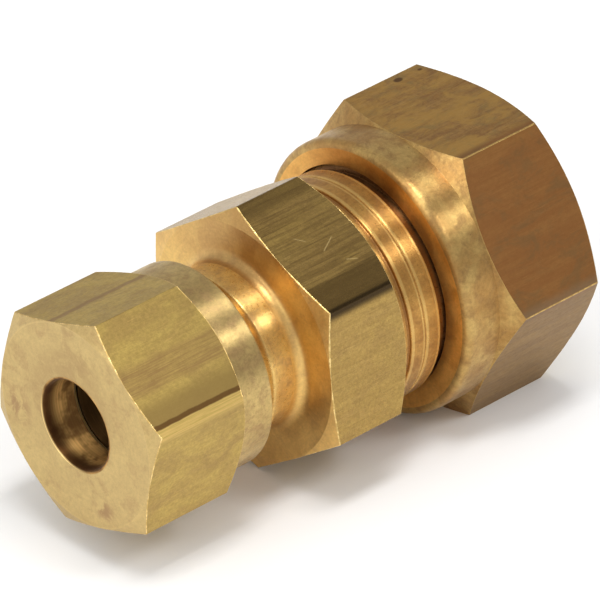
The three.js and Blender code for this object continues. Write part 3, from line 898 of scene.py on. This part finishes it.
def large_face_reflection_and_shade(nodes, at, tone):
    """The rim round the thread has a painted reflection of the brass body and painted shade: browner than
    the chamfers, most of all at the top.
    """
    # Painted reflection: the rim is tinted orange-brown, as if reflecting the brass body beside it.
    rim = nodes.between(at["x"], LARGE["nut_mouth"] + 1.5, LARGE["nut_mouth"] + 0.5)
    tone = nodes.mix(rim, tone, colour(1.14, 0.90, 0.70), "MULTIPLY")
    top = nodes.between(at["cosine"], 0.75, 0.98)
    # Painted shade: the rim is darker still towards the top.
    return nodes.mix(all_of(nodes, rim, top), tone, colour(0.70, 0.58, 0.45), "MULTIPLY")


def brass_set(piece, palettes, **marks):
    """One material for each finish of a piece, in the order of FINISHES."""
    builds = (turned_brass, drawn_brass, faced_brass, edge_brass, bore_brass)
    return [brass_shader(f"{piece}_{finish}", build, palette, marks.get(finish))
            for finish, build, palette in zip(FINISHES, builds, palettes)]


# ---- the studio ----

def floor():
    """A plain pale floor under the large nut's flat."""
    size = 3.0
    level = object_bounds()[0][2]
    mesh = bpy.data.meshes.new("floor")
    corners = [(-size, -size, level), (size, -size, level), (size, size, level), (-size, size, level)]
    mesh.from_pydata(corners, [], [(0, 1, 2, 3)])
    material = bpy.data.materials.new("pale_floor")
    material.use_nodes = True
    shader = material.node_tree.nodes["Principled BSDF"]
    shader.inputs["Base Color"].default_value = colour(0.86, 0.86, 0.86)
    shader.inputs["Roughness"].default_value = 0.9
    shader.inputs["Specular IOR Level"].default_value = 0.1
    mesh.materials.append(material)
    piece = bpy.data.objects.new("floor", mesh)
    bpy.context.scene.collection.objects.link(piece)
    piece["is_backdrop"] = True


def softbox(name, direction, length, width, power, distance=1.0, seen=True):
    """A rectangular light in metres and watts, its length along X, facing the fitting from a direction.
    A light that isn't seen leaves no reflection in the brass."""
    light = bpy.data.lights.new(name, "AREA")
    light.shape = "RECTANGLE"
    light.size = length
    light.size_y = width
    light.energy = power
    box = bpy.data.objects.new(name, light)
    towards = Vector(direction).normalized()
    box.location = towards * distance
    up = Vector((1, 0, 0))
    across = towards.cross(up).normalized()
    along = across.cross(towards).normalized()
    box.matrix_world = Matrix((
        (along.x, across.x, towards.x, box.location.x),
        (along.y, across.y, towards.y, box.location.y),
        (along.z, across.z, towards.z, box.location.z),
        (0, 0, 0, 1),
    ))
    box.visible_glossy = seen
    bpy.context.scene.collection.objects.link(box)


def surroundings():
    """A pale room, lighter to the left and low in front, and dimmer to the right."""
    world = bpy.data.worlds.new("room")
    bpy.context.scene.world = world
    world.use_nodes = True
    tree = world.node_tree
    tree.nodes.clear()
    nodes = Nodes(tree)
    direction = nodes.add("ShaderNodeTexCoord").outputs["Generated"]
    parts = nodes.add("ShaderNodeSeparateXYZ", None, {0: direction}).outputs
    from_right = nodes.math("MULTIPLY", parts[0], -0.65)
    leftward = nodes.math("ADD", from_right, nodes.math("MULTIPLY", parts[1], 0.75))
    ahead = nodes.between(parts[1], -0.52, -0.8, 0.0, 0.26)
    strength = nodes.math("ADD", nodes.between(leftward, -0.7, 0.6, 0.47, 0.72), ahead)
    background = nodes.add("ShaderNodeBackground", None, {"Color": colour(1, 1, 1), "Strength": strength})
    output = nodes.add("ShaderNodeOutputWorld")
    tree.links.new(background.outputs[0], output.inputs[0])


# Where the camera looks from, in degrees and metres, and at what, in millimetres.
CAMERA = {"azimuth": -41.417, "elevation": 31.085, "roll": -2.3, "distance": 0.79796,
          "target": (1.83, -0.28, 1.66), "lens": 450.05, "sensor": 36}


def camera():
    """A long lens from the small end, a little above, turned slightly about its own axis."""
    azimuth, elevation = math.radians(CAMERA["azimuth"]), math.radians(CAMERA["elevation"])
    target = Vector(CAMERA["target"]) * MM
    back = Vector((math.sin(azimuth) * math.cos(elevation), -math.cos(azimuth) * math.cos(elevation),
                   math.sin(elevation)))
    lens = bpy.data.cameras.new("camera")
    lens.lens = CAMERA["lens"]
    lens.sensor_width = CAMERA["sensor"]
    lens.clip_end = 20
    eye = bpy.data.objects.new("camera", lens)
    aim = (-back).to_track_quat("-Z", "Y").to_matrix().to_4x4()
    roll = Matrix.Rotation(math.radians(CAMERA["roll"]), 4, "Z")
    eye.matrix_world = Matrix.Translation(target + back * CAMERA["distance"]) @ aim @ roll
    bpy.context.scene.collection.objects.link(eye)
    bpy.context.scene.camera = eye


def studio():
    """Softboxes above, in front and at the left, a diffuse lamp for the floor, and the room."""
    floor()
    surroundings()
    softbox("overhead_box", (-0.08, -0.2, 0.97), length=0.5, width=0.2, power=4.0)
    softbox("front_box", (0.3, -0.63, 0.72), length=0.3, width=0.22, power=1.9)
    softbox("left_box", (-0.93, 0.18, 0.27), length=0.4, width=0.4, power=1.2)
    softbox("upper_left_box", (-0.79, -0.1, 0.6), length=0.3, width=0.6, power=1.3)
    softbox("fill_box", (-0.3, -0.3, 0.9), length=1.5, width=1.5, power=5, distance=1.6, seen=False)
    camera()
    bpy.context.scene.view_settings.view_transform = "Standard"


# ---- the fitting ----

def build():
    """Every piece of the fitting with its brass, and the studio round it."""
    place_ends()
    # SHADED paints shade into the body's bores and into the olives' faces and bores.
    body_finishes = brass_set("body", (GOLD, OLIVE, GOLD, BRIGHT, SHADED), turned=body_turned_marks_and_painted_light,
                              drawn=hexagon_marks, faced=body_face_marks)
    olive_finishes = brass_set("olive", (PALE, PALE, SHADED, RUBBED_AND_GLINT, SHADED))
    small_finishes = brass_set("small_nut", (PALE, YELLOW, FACE, BRIGHT, REAMED), drawn=small_nut_marks_and_shade,
                               faced=small_face_marks, bore=small_bore_shade_and_highlight)
    large_finishes = brass_set("large_nut", (BRONZE, PATINA, AMBER, RUBBED_AND_GLINT, REAMED), drawn=large_nut_marks,
                               faced=large_face_reflection_and_shade)
    new_piece("fine_body", body_mesh("fine_body"), "body", body_finishes)
    for side, end, turned_back, seed, finishes in (
        ("small", SMALL, True, 2, small_finishes), ("large", LARGE, False, 5, large_finishes),
    ):
        nut_name, olive_name = f"fine_{side}_nut", f"fine_{side}_olive"
        new_piece(nut_name, nut_mesh(nut_name, end, seed), f"{side}_nut", finishes, turned_back)
        new_piece(olive_name, olive_mesh(olive_name, end), f"{side}_olive", olive_finishes,
                  turned_back)
    studio()


build()
